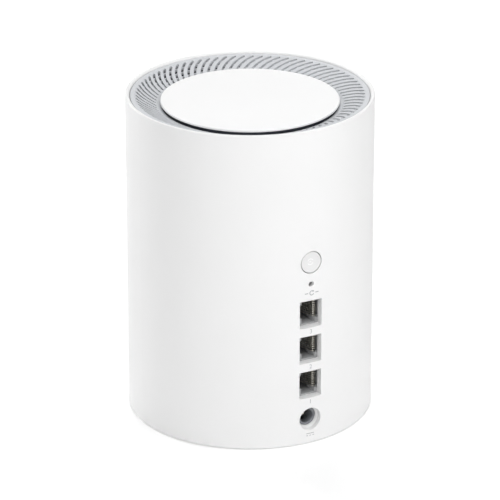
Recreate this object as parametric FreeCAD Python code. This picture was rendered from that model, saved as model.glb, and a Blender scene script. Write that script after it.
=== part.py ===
import FreeCAD, Part
import math
import os

# Tabletop mesh wifi node: an upright cylinder with its sockets in a column on
# the back. Units are millimetres. The origin is under the centre of the feet,
# +Z is up, the sockets face +Y and the status light faces -Y.

Vector = FreeCAD.Vector
X_AXIS = Vector(1, 0, 0)
Y_AXIS = Vector(0, 1, 0)
Z_AXIS = Vector(0, 0, 1)

# ---- driving dimensions --------------------------------------------------

FOOT_PROUD = 0.5
SLEEVE_R = 55.0
SLEEVE_WALL = 2.0
SLEEVE_H = 147.6
SLEEVE_TOP = FOOT_PROUD + SLEEVE_H
BORE_R = SLEEVE_R - SLEEVE_WALL
LIP_OUTER_ROUND = 0.6
LIP_INNER_ROUND = 1.2

# ledge inside the sleeve, trapped between the base plate and the chassis
LEDGE_Z = 3.5
LEDGE_H = 1.0
LEDGE_R = 50.5

# back openings, centred on x = 0
PORT_Z = (28.8, 45.7, 62.6)
PORT_W = 11.0
PORT_H = 12.9
BUTTON_Z = 87.0
BUTTON_HOLE_R = 5.2
PINHOLE_Z = 76.8
PINHOLE_R = 1.3
DC_Z = 12.0
DC_HOLE_R = 5.3
DC_NOSE_R = 4.05
DC_BORE_R = 3.2

# status light window in the front
WINDOW_Z = 16.0
WINDOW_W = 5.0
WINDOW_H = 1.6

# top cover
BAND_DROP = 0.95
CONE_OUT_R = 50.9
CONE_IN_R = 39.0
CONE_IN_DROP = 5.7
CONE_T = 1.2
SKIRT_DROP = 9.0
SKIRT_IN_R = 51.3
SLOT_COUNT = 78
SLOT_W = 1.1
HOOP_R = (43.8, 46.3, 48.8)
HOOP_W = 0.7
HOOP_DEPTH = 0.6
RING_POST_R = 40.15
RING_POST_AZ = (0.0, 60.0, 120.0, 180.0, 240.0, 300.0)
DISC_R = 39.5
DISC_DROP = 3.2
DISC_EDGE_T = 0.85
DISC_T = 1.4
DISC_PEG_R = 30.0
DISC_PEG_AZ = (90.0, 210.0, 330.0)
CARRIER_T = 1.2
TRAY_WALL_R = 37.4
TRAY_WALL_T = 1.2
CARRIER_R = 51.1
COVER_BOSS_R = 36.0
COVER_BOSS_AZ = (30.0, 150.0, 270.0)

# chassis
CHASSIS_R = 52.8
CHASSIS_Z0 = LEDGE_Z + LEDGE_H
CHASSIS_TOP = 131.8
PANEL_Y = 51.2
RIB_T = 3.0
STRUT_AZ = (45.0, 135.0, 225.0, 315.0)

# base
BASE_Z0 = FOOT_PROUD + 0.3
BASE_R = 52.6
FOOT_R = 6.0
FOOT_PCD_R = 43.0
BASE_SCREW_R = 44.0

# boards
PCB_X0 = -9.4
PCB_X1 = -7.8
PCB_Y0 = -46.0
PCB_Y1 = 48.0
PCB_Z0 = 8.0
PCB_Z1 = 125.0
PCB_SCREWS = ((43.0, 76.0), (43.0, 119.0), (-43.0, 30.0), (-43.0, 119.0))
SINK_SCREWS = ((8.0, 60.0), (8.0, 109.5), (-35.0, 60.0), (-35.0, 109.5))
BOARD_Y0 = 43.6
BOARD_Y1 = 44.8
BOARD_BOSSES = ((5.5, 94.0), (5.5, 74.3))

# sockets
JACK_Y0 = 30.1
JACK_Y1 = 51.1
JACK_X1 = 6.1
JACK_H = 15.9
CONTACT_PITCH = 1.016

# pairing button and its switch
BUTTON_R = 4.85
BUTTON_FACE_Y = 54.75
STEM_TIP_Y = 48.82
PLUNGER_TIP_Y = 48.6
RESET_TIP_Y = 49.5

# antennas
ANTENNA_R = 48.2
ANTENNA_Z0 = 82.0
ANTENNA_Z1 = 126.0
COAX_R = 0.565


# ---- helpers -------------------------------------------------------------

def box(x0, x1, y0, y1, z0, z1):
    """Axis-aligned block between the given limits."""
    return Part.makeBox(x1 - x0, y1 - y0, z1 - z0, Vector(x0, y0, z0))


def rod(radius, start, axis, length):
    """Cylinder of a given length from a start point along an axis."""
    return Part.makeCylinder(radius, length, start, axis)


def ring(outer, inner, z0, z1):
    """Upright tube between two heights."""
    tube = rod(outer, Vector(0, 0, z0), Z_AXIS, z1 - z0)
    return tube.cut(rod(inner, Vector(0, 0, z0 - 1), Z_AXIS, z1 - z0 + 2))


def polar(radius, azimuth, z):
    """Point at a radius and azimuth, in degrees from +X."""
    angle = math.radians(azimuth)
    return Vector(radius * math.cos(angle), radius * math.sin(angle), z)


def turned(shape, azimuth):
    """Copy of a shape turned about the upright axis."""
    copy = shape.copy()
    copy.rotate(Vector(0, 0, 0), Z_AXIS, azimuth)
    return copy


def moved(shape, x, y, z):
    """Copy of a shape shifted by the given amounts."""
    copy = shape.copy()
    copy.translate(Vector(x, y, z))
    return copy


def sector(outer, inner, azimuth, half_angle, z0, z1):
    """Part of an upright tube centred on one azimuth."""
    start = rod_sector(outer, z0, z1, 2 * half_angle)
    hole = rod(inner, Vector(0, 0, z0 - 1), Z_AXIS, z1 - z0 + 2)
    return turned(start.cut(hole), azimuth - half_angle)


def rod_sector(radius, z0, z1, angle):
    """Pie slice of an upright cylinder, starting at +X."""
    return Part.makeCylinder(radius, z1 - z0, Vector(0, 0, z0), Z_AXIS, angle)


def revolved(points):
    """Solid turned about the upright axis from (radius, height) corners."""
    outline = [Vector(r, 0, z) for r, z in points]
    outline.append(outline[0])
    face = Part.Face(Part.makePolygon(outline))
    return face.revolve(Vector(0, 0, 0), Z_AXIS, 360)


def edges_where(shape, test):
    """Edges of a shape whose middle point passes a test."""
    chosen = []
    for edge in shape.Edges:
        middle = edge.valueAt((edge.FirstParameter + edge.LastParameter) / 2)
        if test(edge, middle):
            chosen.append(edge)
    return chosen


def rounded_block(x0, x1, y0, y1, z0, z1, radius, axis):
    """Block with the four edges along one axis rounded."""
    block = box(x0, x1, y0, y1, z0, z1)

    def along(edge, middle):
        direction = edge.tangentAt(edge.FirstParameter)
        return abs(direction.dot(axis)) > 0.99

    return block.makeFillet(radius, edges_where(block, along))


def rounded_path(points, radii):
    """Wire of straight runs joined by one tangent arc at each corner."""
    edges = []
    here = points[0]
    for index, radius in enumerate(radii, 1):
        corner = points[index]
        back = (points[index - 1] - corner).normalize()
        onward = (points[index + 1] - corner).normalize()
        half = back.getAngle(onward) / 2
        reach = radius / math.tan(half)
        first = corner + back * reach
        last = corner + onward * reach
        inward = (back + onward).normalize()
        middle = corner + inward * (radius / math.sin(half) - radius)
        edges.append(Part.LineSegment(here, first).toShape())
        edges.append(Part.Arc(first, middle, last).toShape())
        here = last
    edges.append(Part.LineSegment(here, points[-1]).toShape())
    return Part.Wire(edges)


def swept_round(points, bends, radius):
    """Round wire that follows a path of straight runs and arcs."""
    path = rounded_path(points, bends)
    start = (points[1] - points[0]).normalize()
    profile = Part.Wire(Part.makeCircle(radius, points[0], start))
    return path.makePipeShell([profile], True, True)


def swept_strip(points, bends, width, thickness):
    """Flat strip bent in the XY plane, with its width along Z."""
    path = rounded_path(points, bends)
    start = (points[1] - points[0]).normalize()
    side = start.cross(Z_AXIS).normalize() * (thickness / 2)
    rise = Z_AXIS * (width / 2)
    corner = points[0]
    corners = [corner + side + rise, corner - side + rise]
    corners += [corner - side - rise, corner + side - rise]
    corners.append(corners[0])
    profile = Part.makePolygon(corners)
    return path.makePipeShell([profile], True, True)


def screw(shank_r, length, head_r, head_h, point, axis):
    """Pan-head cross-recess screw; the head sits outside the point."""
    head = Part.makeCylinder(head_r, head_h, Vector(0, 0, 0), Z_AXIS)
    head = head.makeFillet(
        head_h * 0.45,
        edges_where(head, lambda edge, mid: abs(mid.z - head_h) < 1e-6),
    )
    arm = head_r * 0.62
    slot = head_r * 0.11
    depth = head_h * 0.6
    head = head.cut(box(-arm, arm, -slot, slot, head_h - depth, head_h + 1))
    head = head.cut(box(-slot, slot, -arm, arm, head_h - depth, head_h + 1))
    shank = Part.makeCone(
        shank_r * 0.55, shank_r, shank_r, Vector(0, 0, -length), Z_AXIS
    )
    body = Part.makeCylinder(
        shank_r, length - shank_r, Vector(0, 0, -length + shank_r), Z_AXIS
    )
    solid = head.fuse(shank).fuse(body).removeSplitter()
    turn = FreeCAD.Rotation(Z_AXIS, axis)
    solid.Placement = FreeCAD.Placement(point, turn)
    return solid


def port_cutter(z, depth0, depth1):
    """Rounded-corner block that opens one socket window."""
    half_w = PORT_W / 2
    half_h = PORT_H / 2
    return rounded_block(
        -half_w, half_w, depth0, depth1, z - half_h, z + half_h, 0.35, Y_AXIS
    )


# ---- enclosure -----------------------------------------------------------

def outer_sleeve():
    """Outer tube with its lip, ledge, key ribs and openings."""
    tube = ring(SLEEVE_R, BORE_R, FOOT_PROUD, SLEEVE_TOP)
    outer_top = edges_where(
        tube,
        lambda edge, mid: abs(mid.z - SLEEVE_TOP) < 1e-6
        and math.hypot(mid.x, mid.y) > 54,
    )
    tube = tube.makeFillet(LIP_OUTER_ROUND, outer_top)
    inner_top = edges_where(
        tube,
        lambda edge, mid: abs(mid.z - SLEEVE_TOP) < 1e-6
        and math.hypot(mid.x, mid.y) < 53.5,
    )
    tube = tube.makeFillet(LIP_INNER_ROUND, inner_top)
    foot = edges_where(
        tube,
        lambda edge, mid: abs(mid.z - FOOT_PROUD) < 1e-6
        and math.hypot(mid.x, mid.y) > 54,
    )
    tube = tube.makeFillet(0.3, foot)
    ledge = ring(BORE_R + 0.5, LEDGE_R, LEDGE_Z, LEDGE_Z + LEDGE_H)
    tube = tube.fuse(ledge)
    for azimuth in (0.0, 180.0):
        rib = box(51.8, BORE_R + 0.5, -1.0, 1.0, LEDGE_Z + 0.5, 133.0)
        tube = tube.fuse(turned(rib, azimuth))
    for z in PORT_Z:
        tube = tube.cut(port_cutter(z, 45, 60))
    for radius, z in (
        (BUTTON_HOLE_R, BUTTON_Z),
        (PINHOLE_R, PINHOLE_Z),
        (DC_HOLE_R, DC_Z),
    ):
        tube = tube.cut(rod(radius, Vector(0, 45, z), Y_AXIS, 15))
    tube = tube.cut(
        rounded_block(
            -WINDOW_W / 2 - 0.1,
            WINDOW_W / 2 + 0.1,
            -60,
            -45,
            WINDOW_Z - WINDOW_H / 2 - 0.1,
            WINDOW_Z + WINDOW_H / 2 + 0.1,
            WINDOW_H / 2,
            Y_AXIS,
        )
    )
    return tube.removeSplitter()


def slot_cutter():
    """One curved vent slot, from the inner to the outer end."""
    half = SLOT_W / 2
    path = ((41.8, 0.0), (46.5, -4.3), (50.2, -9.6))
    inner, middle, outer = [polar(r, a, 0) for r, a in path]
    centre = Part.Arc(inner, middle, outer).toShape().Curve.Center
    sides = []
    for offset in (half, -half):
        ends = []
        for point in (inner, middle, outer):
            away = (point - centre).normalize()
            ends.append(point + away * offset)
        sides.append(ends)
    caps = []
    for point, onward in ((outer, 1), (inner, -1)):
        tangent = Z_AXIS.cross((point - centre).normalize())
        if tangent.dot(outer - inner) * onward < 0:
            tangent = tangent * -1
        caps.append(point + tangent * half)
    left, right = sides
    wire = Part.Wire(
        [
            Part.Arc(left[0], left[1], left[2]).toShape(),
            Part.Arc(left[2], caps[0], right[2]).toShape(),
            Part.Arc(right[2], right[1], right[0]).toShape(),
            Part.Arc(right[0], caps[1], left[0]).toShape(),
        ]
    )
    cutter = Part.Face(wire).extrude(Vector(0, 0, 9))
    cutter.translate(Vector(0, 0, SLEEVE_TOP - 8))
    return cutter


def cone_drop(radius):
    """How far the dished ring lies under the lip at one radius."""
    share = (radius - CONE_IN_R) / (CONE_OUT_R - CONE_IN_R)
    return CONE_IN_DROP + (BAND_DROP - CONE_IN_DROP) * share


def vent_ring():
    """Dished grille ring with curved slots, hoops and mounting posts."""
    top = SLEEVE_TOP
    outer = BORE_R - 0.25
    body = revolved(
        [
            (CONE_IN_R, top - CONE_IN_DROP),
            (CONE_OUT_R, top - BAND_DROP),
            (outer, top - BAND_DROP),
            (outer, top - SKIRT_DROP),
            (SKIRT_IN_R, top - SKIRT_DROP),
            (SKIRT_IN_R, top - BAND_DROP - CONE_T),
            (CONE_IN_R, top - CONE_IN_DROP - CONE_T),
        ]
    )
    cutter = slot_cutter()
    slots = [
        turned(cutter, 360.0 * index / SLOT_COUNT)
        for index in range(SLOT_COUNT)
    ]
    body = body.cut(Part.makeCompound(slots))
    for radius in HOOP_R:
        surface = top - cone_drop(radius)
        hoop = ring(
            radius + HOOP_W / 2,
            radius - HOOP_W / 2,
            surface - CONE_T - 0.5,
            surface - HOOP_DEPTH,
        )
        body = body.fuse(hoop)
    floor_top = top - SKIRT_DROP + CARRIER_T
    reach = top - cone_drop(RING_POST_R) - 0.5
    for azimuth in RING_POST_AZ:
        shoulder = polar(RING_POST_R, azimuth, floor_top)
        stake = polar(RING_POST_R, azimuth, top - SKIRT_DROP - 0.5)
        body = body.fuse(rod(1.0, shoulder, Z_AXIS, reach - floor_top))
        body = body.fuse(rod(0.6, stake, Z_AXIS, 2.5))
    return body.removeSplitter()


def cover_carrier():
    """Black tray under the grille, with air windows and a disc platform."""
    top = SLEEVE_TOP
    under = top - SKIRT_DROP
    floor_top = under + CARRIER_T
    seat = top - DISC_DROP - DISC_T
    body = revolved(
        [
            (0, under),
            (CARRIER_R, under),
            (CARRIER_R, top - 3.2),
            (CARRIER_R - 0.8, top - 3.2),
            (CARRIER_R - 0.8, floor_top),
            (33.0, floor_top),
            (33.0, seat),
            (27.0, seat),
            (27.0, floor_top),
            (0, floor_top),
        ]
    )
    windows = [
        sector(49.6, 42.4, 10.0 + 20.0 * index, 6.8, under - 1, floor_top + 1)
        for index in range(18)
    ]
    body = body.cut(Part.makeCompound(windows))
    wall_in = TRAY_WALL_R - TRAY_WALL_T
    body = body.fuse(ring(TRAY_WALL_R, wall_in, floor_top - 0.5, seat - 0.2))
    for azimuth in COVER_BOSS_AZ:
        start = polar(COVER_BOSS_R, azimuth, CHASSIS_TOP)
        body = body.fuse(rod(3.6, start, Z_AXIS, under + 0.6 - CHASSIS_TOP))
        pilot = polar(COVER_BOSS_R, azimuth, CHASSIS_TOP - 1)
        body = body.cut(rod(1.3, pilot, Z_AXIS, 8.2))
    for azimuth in DISC_PEG_AZ:
        hole = polar(DISC_PEG_R, azimuth, seat - 2.0)
        body = body.cut(rod(1.5, hole, Z_AXIS, 3.0))
    for azimuth in RING_POST_AZ:
        hole = polar(RING_POST_R, azimuth, under - 1)
        body = body.cut(rod(0.7, hole, Z_AXIS, 4.0))
    return body.removeSplitter()


def top_disc():
    """Smooth cap disc, thin at its edge, with three locating pegs."""
    face = SLEEVE_TOP - DISC_DROP
    disc = revolved(
        [
            (0, face),
            (DISC_R, face),
            (DISC_R, face - DISC_EDGE_T),
            (DISC_R - 2.0, face - DISC_T),
            (0, face - DISC_T),
        ]
    )
    rim = edges_where(
        disc,
        lambda edge, mid: abs(mid.z - face) < 1e-6
        and math.hypot(mid.x, mid.y) > DISC_R - 1,
    )
    disc = disc.makeFillet(0.3, rim)
    for azimuth in DISC_PEG_AZ:
        peg = polar(DISC_PEG_R, azimuth, face - DISC_T - 1.5)
        disc = disc.fuse(rod(1.4, peg, Z_AXIS, 2.0))
    return disc.removeSplitter()


def chassis_frame():
    """Inner frame: rings, struts, back panel, board ribs and bosses."""
    z0 = CHASSIS_Z0
    body = ring(CHASSIS_R, 47.5, z0, z0 + 3.0)
    body = body.fuse(ring(CHASSIS_R, 47.5, CHASSIS_TOP - 3.0, CHASSIS_TOP))
    for azimuth in STRUT_AZ:
        body = body.fuse(
            sector(CHASSIS_R, 50.8, azimuth, 9.0, z0, CHASSIS_TOP)
        )
        for z in (85.0, 118.0):
            pad = box(49.0, 51.6, -4.0, 4.0, z, z + 4.0)
            body = body.fuse(turned(pad, azimuth))
        boss = polar(BASE_SCREW_R, azimuth, LEDGE_Z)
        arm = box(42.5, 49.0, -2.0, 2.0, z0, z0 + 3.0)
        body = body.fuse(rod(3.5, boss, Z_AXIS, 10.0))
        body = body.fuse(turned(arm, azimuth))
    drum = rod(CHASSIS_R, Vector(0, 0, z0), Z_AXIS, CHASSIS_TOP - z0)
    panel = drum.common(box(-20, 20, PANEL_Y, 60, z0, CHASSIS_TOP))
    body = body.fuse(panel)
    rib_x = PCB_X0 - RIB_T
    body = body.fuse(
        drum.common(box(rib_x, PCB_X0, 40, 60, z0, CHASSIS_TOP))
    )
    body = body.fuse(drum.common(box(9.8, 11.8, 45, 60, z0, CHASSIS_TOP)))
    spine = sector(CHASSIS_R, 50.8, 270.0, 15.0, z0, CHASSIS_TOP)
    body = body.fuse(spine)
    body = body.fuse(
        drum.common(box(rib_x, PCB_X0, -60, -40, z0, CHASSIS_TOP))
    )
    for azimuth in COVER_BOSS_AZ:
        tab = box(31.5, 48.5, -5.0, 5.0, CHASSIS_TOP - 3.0, CHASSIS_TOP)
        body = body.fuse(turned(tab, azimuth))
        hole = polar(COVER_BOSS_R, azimuth, CHASSIS_TOP - 4)
        body = body.cut(rod(1.6, hole, Z_AXIS, 5))
    for x, z in BOARD_BOSSES:
        start = Vector(x, BOARD_Y1, z)
        body = body.fuse(rod(2.3, start, Y_AXIS, 51.8 - BOARD_Y1))
        body = body.cut(rod(0.95, start - Y_AXIS, Y_AXIS, 6.0))
    guide = Vector(0, 49.9, PINHOLE_Z)
    body = body.fuse(rod(2.4, guide, Y_AXIS, 2.0))
    for z in PORT_Z:
        body = body.cut(port_cutter(z, 50.5, 60))
    for radius, z in (
        (BUTTON_HOLE_R, BUTTON_Z),
        (PINHOLE_R, PINHOLE_Z),
        (DC_NOSE_R + 0.3, DC_Z),
    ):
        body = body.cut(rod(radius, Vector(0, 49, z), Y_AXIS, 11))
    funnel = Part.makeCone(
        DC_NOSE_R + 0.3, DC_HOLE_R + 0.2, 1.5, Vector(0, 51.5, DC_Z), Y_AXIS
    )
    body = body.cut(funnel)
    for azimuth in (0.0, 180.0):
        key = box(51.5, 54.0, -1.3, 1.3, z0 - 1, CHASSIS_TOP + 1)
        body = body.cut(turned(key, azimuth))
    for azimuth in STRUT_AZ:
        pilot = polar(BASE_SCREW_R, azimuth, LEDGE_Z - 1)
        body = body.cut(rod(1.5, pilot, Z_AXIS, 9.5))
    for y, z in PCB_SCREWS:
        start = Vector(rib_x - 1, y, z)
        body = body.cut(rod(1.25, start, X_AXIS, RIB_T + 2))
    body = body.cut(
        box(-3.2, 3.2, -60, -45, WINDOW_Z - 1.8, WINDOW_Z + 1.8)
    )
    return body.removeSplitter()


def base_plate():
    """Bottom plate with vent slots, foot recesses and screw seats."""
    plate = rod(BASE_R, Vector(0, 0, BASE_Z0), Z_AXIS, LEDGE_Z - BASE_Z0)
    rim = edges_where(
        plate,
        lambda edge, mid: abs(mid.z - BASE_Z0) < 1e-6,
    )
    plate = plate.makeChamfer(0.4, rim)
    slots = []
    for index in range(36):
        slot = rounded_block(22, 34, -0.8, 0.8, 0, 5, 0.75, Z_AXIS)
        slots.append(turned(slot, 10.0 * index))
    plate = plate.cut(Part.makeCompound(slots))
    for azimuth in (0.0, 90.0, 180.0, 270.0):
        seat = polar(FOOT_PCD_R, azimuth, BASE_Z0 - 1)
        plate = plate.cut(rod(FOOT_R + 0.3, seat, Z_AXIS, 1.7))
    for azimuth in STRUT_AZ:
        seat = polar(BASE_SCREW_R, azimuth, BASE_Z0 - 1)
        plate = plate.cut(rod(1.8, seat, Z_AXIS, 5))
        plate = plate.cut(rod(3.2, seat, Z_AXIS, 2.2))
    label = rod(18.0, Vector(0, 0, BASE_Z0 - 1), Z_AXIS, 1.3)
    return plate.cut(label).removeSplitter()


def rubber_foot(azimuth):
    """Round rubber foot with a softened lower edge."""
    start = polar(FOOT_PCD_R, azimuth, 0)
    foot = rod(FOOT_R, start, Z_AXIS, BASE_Z0 + 0.7)
    rim = edges_where(foot, lambda edge, mid: mid.z < 0.1)
    return foot.makeFillet(0.5, rim)


# ---- sockets -------------------------------------------------------------

def rj45_jack(z):
    """Socket body with its plug cavity, latch steps and contact comb."""
    half = JACK_H / 2
    body = box(PCB_X1, JACK_X1, JACK_Y0, JACK_Y1, z - half, z + half)
    mouth = JACK_Y1 + 1
    body = body.cut(box(-4.1, 2.6, 37.5, mouth, z - 5.95, z + 5.95))
    body = body.cut(box(2.5, 4.2, 39.0, mouth, z - 3.15, z + 3.15))
    body = body.cut(box(4.1, 5.4, 42.0, mouth, z - 1.7, z + 1.7))
    body = body.cut(box(-6.7, -4.0, 42.0, mouth, z - 4.1, z + 4.1))
    for index in range(8):
        centre = z + (index - 3.5) * CONTACT_PITCH
        body = body.cut(
            box(-5.4, -4.0, 36.5, 42.1, centre - 0.32, centre + 0.32)
        )
        body = body.cut(
            box(-6.9, -5.3, 36.5, 37.6, centre - 0.32, centre + 0.32)
        )
    for side in (-1, 1):
        peg = Vector(PCB_X1, 42.0, z + side * 5.7)
        body = body.fuse(rod(1.4, peg, X_AXIS * -1, 1.5))
    lip = edges_where(
        body,
        lambda edge, mid: abs(mid.y - JACK_Y1) < 1e-6
        and abs(mid.z - z) < 5.96
        and -4.2 < mid.x < 2.7
        and abs(abs(mid.z - z) - 5.95) < 0.01,
    )
    return body.makeChamfer(0.3, lip).removeSplitter()


def rj45_contacts(z):
    """Eight spring contacts, each a bent strip."""
    wires = []
    for index in range(8):
        centre = z + (index - 3.5) * CONTACT_PITCH
        points = [
            Vector(-6.7, 37.05, centre),
            Vector(-5.15, 37.05, centre),
            Vector(-5.15, 49.7, centre),
            Vector(-3.75, 49.7, centre),
            Vector(-0.9, 41.2, centre),
        ]
        wires.append(swept_strip(points, (0.5, 0.3, 0.36), 0.5, 0.3))
    return Part.makeCompound(wires)


def dc_jack_housing():
    """Power inlet body with its round nose and bore."""
    body = box(PCB_X1, 4.6, 37.0, 50.2, DC_Z - 4.4, DC_Z + 4.6)
    body = body.fuse(rod(DC_NOSE_R, Vector(0, 49, DC_Z), Y_AXIS, 2.6))
    body = body.cut(rod(DC_BORE_R, Vector(0, 41.0, DC_Z), Y_AXIS, 12))
    body = body.cut(rod(1.05, Vector(0, 36.0, DC_Z), Y_AXIS, 8))
    body = body.cut(box(-0.9, 0.9, 41.0, 47.5, DC_Z - 3.7, DC_Z - 2.9))
    mouth = edges_where(
        body,
        lambda edge, mid: abs(mid.y - 51.6) < 1e-6
        and abs(math.hypot(mid.x, mid.z - DC_Z) - DC_BORE_R) < 0.01,
    )
    return body.makeChamfer(0.25, mouth).removeSplitter()


def dc_jack_pin():
    """Centre pin of the power inlet, with a domed tip."""
    pin = rod(1.0, Vector(0, 37.4, DC_Z), Y_AXIS, 11.2)
    tip = edges_where(pin, lambda edge, mid: abs(mid.y - 48.6) < 1e-6)
    return pin.makeFillet(0.6, tip)


def dc_jack_spring():
    """Leaf contact bowed up into the bore of the power inlet."""
    low = DC_Z - 3.45
    points = [
        Vector(0, 41.3, low),
        Vector(0, 43.0, low),
        Vector(0, 44.8, low + 1.1),
        Vector(0, 46.2, low + 0.3),
        Vector(0, 47.1, low + 0.3),
    ]
    path = rounded_path(points, (0.5, 0.5, 0.5))
    corners = [
        Vector(-0.7, 41.3, low - 0.15),
        Vector(0.7, 41.3, low - 0.15),
        Vector(0.7, 41.3, low + 0.15),
        Vector(-0.7, 41.3, low + 0.15),
    ]
    corners.append(corners[0])
    return path.makePipeShell([Part.makePolygon(corners)], True, True)


# ---- button and switches -------------------------------------------------

def pairing_button():
    """Round dished cap with a retaining flange and a short stem."""
    cap = rod(BUTTON_R, Vector(0, 50.0, BUTTON_Z), Y_AXIS, BUTTON_FACE_Y - 50)
    rim = edges_where(cap, lambda edge, mid: mid.y > BUTTON_FACE_Y - 0.01)
    cap = cap.makeFillet(0.15, rim)
    dish_r = 13.0
    dish = Part.makeSphere(
        dish_r, Vector(0, BUTTON_FACE_Y + dish_r - 0.8, BUTTON_Z)
    )
    cap = cap.cut(dish)
    flange = rod(6.1, Vector(0, 49.6, BUTTON_Z), Y_AXIS, 1.2)
    stem = rod(
        1.5, Vector(0, STEM_TIP_Y, BUTTON_Z), Y_AXIS, 50 - STEM_TIP_Y
    )
    return cap.fuse(flange).fuse(stem).removeSplitter()


def button_board():
    """Small board that stands behind the button and the reset hole."""
    board = rounded_block(
        -6.0, 8.8, BOARD_Y0, BOARD_Y1, 71.6, 96.6, 0.8, Y_AXIS
    )
    for x, z in BOARD_BOSSES:
        board = board.cut(rod(1.15, Vector(x, 40, z), Y_AXIS, 8))
    return board


def tact_switch(z, size, front, bore_r):
    """Square switch body with a blind bore for its plunger."""
    half = size / 2
    body = box(-half, half, BOARD_Y1, front, z - half, z + half)
    body = body.cut(rod(bore_r, Vector(0, front - 1.3, z), Y_AXIS, 3))
    for side in (-1, 1):
        for level in (-1, 1):
            x0 = side * half if side > 0 else -half - 0.8
            z0 = z + level * half * 0.62 - 0.35
            leg = box(x0, x0 + 0.8, BOARD_Y1, BOARD_Y1 + 0.5, z0, z0 + 0.7)
            body = body.fuse(leg)
    return body.removeSplitter()


def plunger(z, radius, back, tip):
    """Round switch plunger with an eased tip."""
    pin = rod(radius, Vector(0, back, z), Y_AXIS, tip - back)
    rim = edges_where(pin, lambda edge, mid: mid.y > tip - 0.01)
    return pin.makeFillet(0.2, rim)


def board_header():
    """Right-angle header that joins the two boards."""
    body = box(PCB_X1, -5.2, 40.4, BOARD_Y0, 81.5, 93.5)
    for index in range(6):
        z = 82.5 + 2.0 * index
        leg = box(PCB_X1, -7.4, 39.2, 40.5, z - 0.3, z + 0.3)
        body = body.fuse(leg)
    return body.removeSplitter()


# ---- main board ----------------------------------------------------------

def main_pcb():
    """Upright main board with its fixing and locating holes."""
    board = rounded_block(
        PCB_X0, PCB_X1, PCB_Y0, PCB_Y1, PCB_Z0, PCB_Z1, 2.0, X_AXIS
    )
    for y, z in PCB_SCREWS + SINK_SCREWS:
        board = board.cut(rod(1.6, Vector(-12, y, z), X_AXIS, 8))
    for port in PORT_Z:
        for side in (-1, 1):
            hole = Vector(-12, 42.0, port + side * 5.7)
            board = board.cut(rod(1.5, hole, X_AXIS, 8))
    return board


def chip(y, z, size_y, size_z, height):
    """Flat package on the socket side of the main board."""
    body = box(
        PCB_X1,
        PCB_X1 + height,
        y - size_y / 2,
        y + size_y / 2,
        z - size_z / 2,
        z + size_z / 2,
    )
    lid = edges_where(
        body,
        lambda edge, mid: abs(mid.x - PCB_X1 - height) < 1e-6,
    )
    return body.makeChamfer(0.2, lid)


def shield_can(y, z, size_y, size_z, height):
    """Thin pressed cover, open towards the board."""
    outer = box(
        PCB_X1,
        PCB_X1 + height,
        y - size_y / 2,
        y + size_y / 2,
        z - size_z / 2,
        z + size_z / 2,
    )
    wall = 0.25
    inner = box(
        PCB_X1 - 1,
        PCB_X1 + height - wall,
        y - size_y / 2 + wall,
        y + size_y / 2 - wall,
        z - size_z / 2 + wall,
        z + size_z / 2 - wall,
    )
    return outer.cut(inner)


def pad(x0, x1, y, z, size_y, size_z):
    """Soft thermal pad between two flat faces."""
    return box(
        x0,
        x1,
        y - size_y / 2,
        y + size_y / 2,
        z - size_z / 2,
        z + size_z / 2,
    )


SINK_X0 = -4.9
SINK_Y0 = -39.0
SINK_Y1 = 12.5
SINK_Z0 = 56.0
SINK_Z1 = 113.5
FIN_COUNT = 13
FIN_T = 1.1
CAN_H = 2.2
WIFI_SPOTS = ((0.0, 97.0), (-24.0, 97.0))
SOC_SPOT = (-6.0, 72.0)


def heatsink():
    """Finned plate over the processor and the radio covers."""
    body = box(SINK_X0, -2.9, SINK_Y0, SINK_Y1, SINK_Z0, SINK_Z1)
    pitch = (SINK_Y1 - SINK_Y0 - FIN_T) / (FIN_COUNT - 1)
    for index in range(FIN_COUNT):
        y = SINK_Y0 + pitch * index
        body = body.fuse(box(-3.0, 12.0, y, y + FIN_T, SINK_Z0, SINK_Z1))
    for y, z in SINK_SCREWS:
        post = Vector(PCB_X1, y, z)
        body = body.fuse(rod(3.0, post, X_AXIS, SINK_X0 - PCB_X1 + 0.5))
        body = body.cut(rod(1.25, post, X_AXIS, 4.5))
    return body.removeSplitter()


def heat_spreader():
    """Flat plate behind the main board, on four pressed stand-offs."""
    body = box(-12.4, -10.9, SINK_Y0, 14.0, 24.0, 115.0)
    for y, z in SINK_SCREWS:
        foot = Vector(-10.95, y, z)
        body = body.fuse(rod(3.0, foot, X_AXIS, PCB_X0 + 10.95))
        body = body.cut(rod(1.6, Vector(-14, y, z), X_AXIS, 8))
    window = rounded_block(-14, -9, -30.0, -8.0, 30.0, 48.0, 3.0, X_AXIS)
    return body.cut(window).removeSplitter()


def lan_transformers():
    """Three isolation modules behind the sockets."""
    blocks = []
    for z in PORT_Z:
        body = box(PCB_X1, PCB_X1 + 6.0, 16.0, 27.0, z - 6.9, z + 6.9)
        for index in range(6):
            row = z - 5.5 + 2.2 * index
            leg = box(PCB_X1, -7.4, 14.8, 28.2, row - 0.3, row + 0.3)
            body = body.fuse(leg)
        blocks.append(body.removeSplitter())
    return Part.makeCompound(blocks)


def memory_chips():
    """Two memory packages beside the processor."""
    return Part.makeCompound(
        [chip(-24.5, 64.0, 9.0, 13.0, 1.1), chip(-24.5, 80.0, 9.0, 11.0, 1.1)]
    )


def power_inductors():
    """Moulded inductors of the power converters."""
    blocks = []
    for y, z in ((-14.0, 20.0), (-24.0, 20.0), (-14.0, 33.0)):
        body = rounded_block(
            PCB_X1, -4.4, y - 3.4, y + 3.4, z - 3.4, z + 3.4, 0.8, X_AXIS
        )
        blocks.append(body)
    return Part.makeCompound(blocks)


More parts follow.
